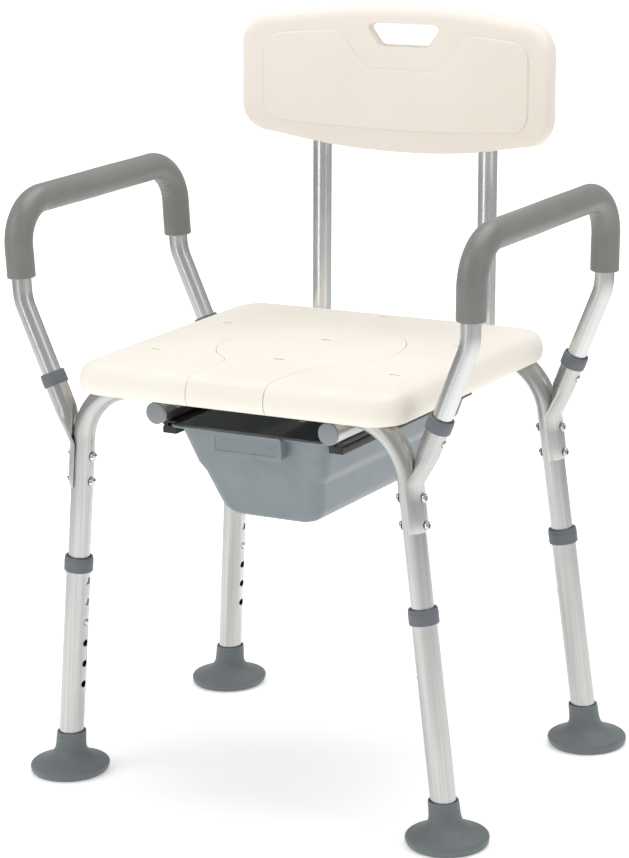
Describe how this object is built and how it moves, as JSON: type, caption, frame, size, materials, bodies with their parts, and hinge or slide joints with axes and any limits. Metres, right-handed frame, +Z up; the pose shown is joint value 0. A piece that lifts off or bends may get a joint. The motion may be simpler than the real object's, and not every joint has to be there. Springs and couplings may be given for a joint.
{
  "type": "shower commode chair",
  "caption": "Aluminium shower commode chair: moulded seat with lift-out cover, slide-out bucket, lift-off padded arms, pull-off curved backrest and height-adjustable legs on suction feet.",
  "frame": {"origin": "on the floor, under the middle of the bounding box", "axes": "+Z up, -Y is the front that the user faces, +X is the user's left, seen on the right from the front"},
  "size_m": [0.6144, 0.4641, 0.857],
  "materials": {
    "aluminium_tube": "satin anodised",
    "steel_hardware": "bright plated",
    "ivory_plastic": "fine leather-grain moulding",
    "grey_plastic": "satin",
    "grey_rubber": "matt",
    "grey_foam": "closed-cell foam skin",
    "bucket_plastic": "satin",
    "black_plastic": "satin"
  },
  "bodies": {
    "frame": {"arm_bracket_front_left": "aluminium_tube", "arm_bracket_front_right": "aluminium_tube", "arm_bracket_rear_left": "aluminium_tube", "arm_bracket_rear_right": "aluminium_tube", "arm_collar_front_left": "grey_plastic", "arm_collar_front_right": "grey_plastic", "arm_collar_rear_left": "grey_plastic", "arm_collar_rear_right": "grey_plastic", "bucket_slide_left": "black_plastic", "bucket_slide_right": "black_plastic", "front_frame_tube": "aluminium_tube", "lower_bolt_front_left": "steel_hardware", "lower_bolt_front_right": "steel_hardware", "lower_bolt_rear_left": "steel_hardware", "lower_bolt_rear_right": "steel_hardware", "rail_plug_left": "grey_plastic", "rail_plug_right": "grey_plastic", "rear_frame_tube": "aluminium_tube", "seat_panel": "ivory_plastic", "seat_rail_left": "aluminium_tube", "seat_rail_right": "aluminium_tube", "seat_screw_front_left": "steel_hardware", "seat_screw_front_right": "steel_hardware", "seat_screw_rear_left": "steel_hardware", "seat_screw_rear_right": "steel_hardware", "upper_bolt_front_left": "steel_hardware", "upper_bolt_front_right": "steel_hardware", "upper_bolt_rear_left": "steel_hardware", "upper_bolt_rear_right": "steel_hardware"},
    "leg_front_left": {"lower_leg_front_left": "aluminium_tube", "leg_collar_front_left": "grey_plastic", "foot_front_left": "grey_rubber"},
    "leg_button_front_left": {"leg_clip_front_left": "steel_hardware"},
    "leg_front_right": {"lower_leg_front_right": "aluminium_tube", "leg_collar_front_right": "grey_plastic", "foot_front_right": "grey_rubber"},
    "leg_button_front_right": {"leg_clip_front_right": "steel_hardware"},
    "leg_rear_left": {"lower_leg_rear_left": "aluminium_tube", "leg_collar_rear_left": "grey_plastic", "foot_rear_left": "grey_rubber"},
    "leg_button_rear_left": {"leg_clip_rear_left": "steel_hardware"},
    "leg_rear_right": {"lower_leg_rear_right": "aluminium_tube", "leg_collar_rear_right": "grey_plastic", "foot_rear_right": "grey_rubber"},
    "leg_button_rear_right": {"leg_clip_rear_right": "steel_hardware"},
    "arm_left": {"arm_tube_left": "aluminium_tube", "arm_grip_left": "grey_foam"},
    "arm_button_front_left": {"arm_clip_front_left": "steel_hardware"},
    "arm_button_rear_left": {"arm_clip_rear_left": "steel_hardware"},
    "arm_right": {"arm_tube_right": "aluminium_tube", "arm_grip_right": "grey_foam"},
    "arm_button_front_right": {"arm_clip_front_right": "steel_hardware"},
    "arm_button_rear_right": {"arm_clip_rear_right": "steel_hardware"},
    "back": {"back_post_left": "aluminium_tube", "back_post_right": "aluminium_tube", "backrest_panel": "ivory_plastic"},
    "back_button_left": {"back_clip_left": "steel_hardware"},
    "back_button_right": {"back_clip_right": "steel_hardware"},
    "bucket": {"bucket": "bucket_plastic"},
    "seat_cover": {"seat_cover": "ivory_plastic"}
  },
  "joints": [
    {"name": "leg_height_front_left", "type": "slide", "parent": "frame", "child": "leg_front_left", "axis": [0.1005, 0.008, 0.9949], "range_m": [-0.0508, 0.0762], "deforming": ["leg_clip_front_left"]},
    {"name": "leg_button_press_front_left", "type": "slide", "parent": "frame", "child": "leg_button_front_left", "axis": [-0.9949, 0.0008, 0.1005], "range_m": [0, 0.0035], "stiffness_N_per_m": 900},
    {"name": "leg_height_front_right", "type": "slide", "parent": "frame", "child": "leg_front_right", "axis": [-0.1005, 0.008, 0.9949], "range_m": [-0.0508, 0.0762], "deforming": ["leg_clip_front_right"]},
    {"name": "leg_button_press_front_right", "type": "slide", "parent": "frame", "child": "leg_button_front_right", "axis": [0.9949, 0.0008, 0.1005], "range_m": [0, 0.0035], "stiffness_N_per_m": 900},
    {"name": "leg_height_rear_left", "type": "slide", "parent": "frame", "child": "leg_rear_left", "axis": [0.1004, -0.0358, 0.9943], "range_m": [-0.0508, 0.0762], "deforming": ["leg_clip_rear_left"]},
    {"name": "leg_button_press_rear_left", "type": "slide", "parent": "frame", "child": "leg_button_rear_left", "axis": [-0.9949, -0.0036, 0.1004], "range_m": [0, 0.0035], "stiffness_N_per_m": 900},
    {"name": "leg_height_rear_right", "type": "slide", "parent": "frame", "child": "leg_rear_right", "axis": [-0.1004, -0.0358, 0.9943], "range_m": [-0.0508, 0.0762], "deforming": ["leg_clip_rear_right"]},
    {"name": "leg_button_press_rear_right", "type": "slide", "parent": "frame", "child": "leg_button_rear_right", "axis": [0.9949, -0.0036, 0.1004], "range_m": [0, 0.0035], "stiffness_N_per_m": 900},
    {"name": "arm_lift_off_left", "type": "slide", "parent": "frame", "child": "arm_left", "axis": [-0.3947, 0, 0.9188], "range_m": [0, 0.05], "deforming": ["arm_clip_front_left", "arm_clip_rear_left"]},
    {"name": "arm_button_press_front_left", "type": "slide", "parent": "arm_left", "child": "arm_button_front_left", "axis": [0.9188, 0, 0.3947], "range_m": [0, 0.0034], "stiffness_N_per_m": 900},
    {"name": "arm_button_press_rear_left", "type": "slide", "parent": "arm_left", "child": "arm_button_rear_left", "axis": [0.9188, 0, 0.3947], "range_m": [0, 0.0034], "stiffness_N_per_m": 900},
    {"name": "arm_lift_off_right", "type": "slide", "parent": "frame", "child": "arm_right", "axis": [0.3947, 0, 0.9188], "range_m": [0, 0.05], "deforming": ["arm_clip_front_right", "arm_clip_rear_right"]},
    {"name": "arm_button_press_front_right", "type": "slide", "parent": "arm_right", "child": "arm_button_front_right", "axis": [-0.9188, 0, 0.3947], "range_m": [0, 0.0034], "stiffness_N_per_m": 900},
    {"name": "arm_button_press_rear_right", "type": "slide", "parent": "arm_right", "child": "arm_button_rear_right", "axis": [-0.9188, 0, 0.3947], "range_m": [0, 0.0034], "stiffness_N_per_m": 900},
    {"name": "back_pull_off", "type": "slide", "parent": "frame", "child": "back", "axis": [0, 1, 0], "range_m": [0, 0.065], "deforming": ["back_clip_left", "back_clip_right"]},
    {"name": "back_button_press_left", "type": "slide", "parent": "back", "child": "back_button_left", "axis": [1, 0, 0], "range_m": [0, 0.0034], "stiffness_N_per_m": 900},
    {"name": "back_button_press_right", "type": "slide", "parent": "back", "child": "back_button_right", "axis": [-1, 0, 0], "range_m": [0, 0.0034], "stiffness_N_per_m": 900},
    {"name": "bucket_slide_out", "type": "slide", "parent": "frame", "child": "bucket", "axis": [0, -1, 0], "range_m": [0, 0.28]},
    {"name": "cover_lift_off", "type": "slide", "parent": "frame", "child": "seat_cover", "axis": [0, 0, 1], "range_m": [0, 0.1]}
  ]
}
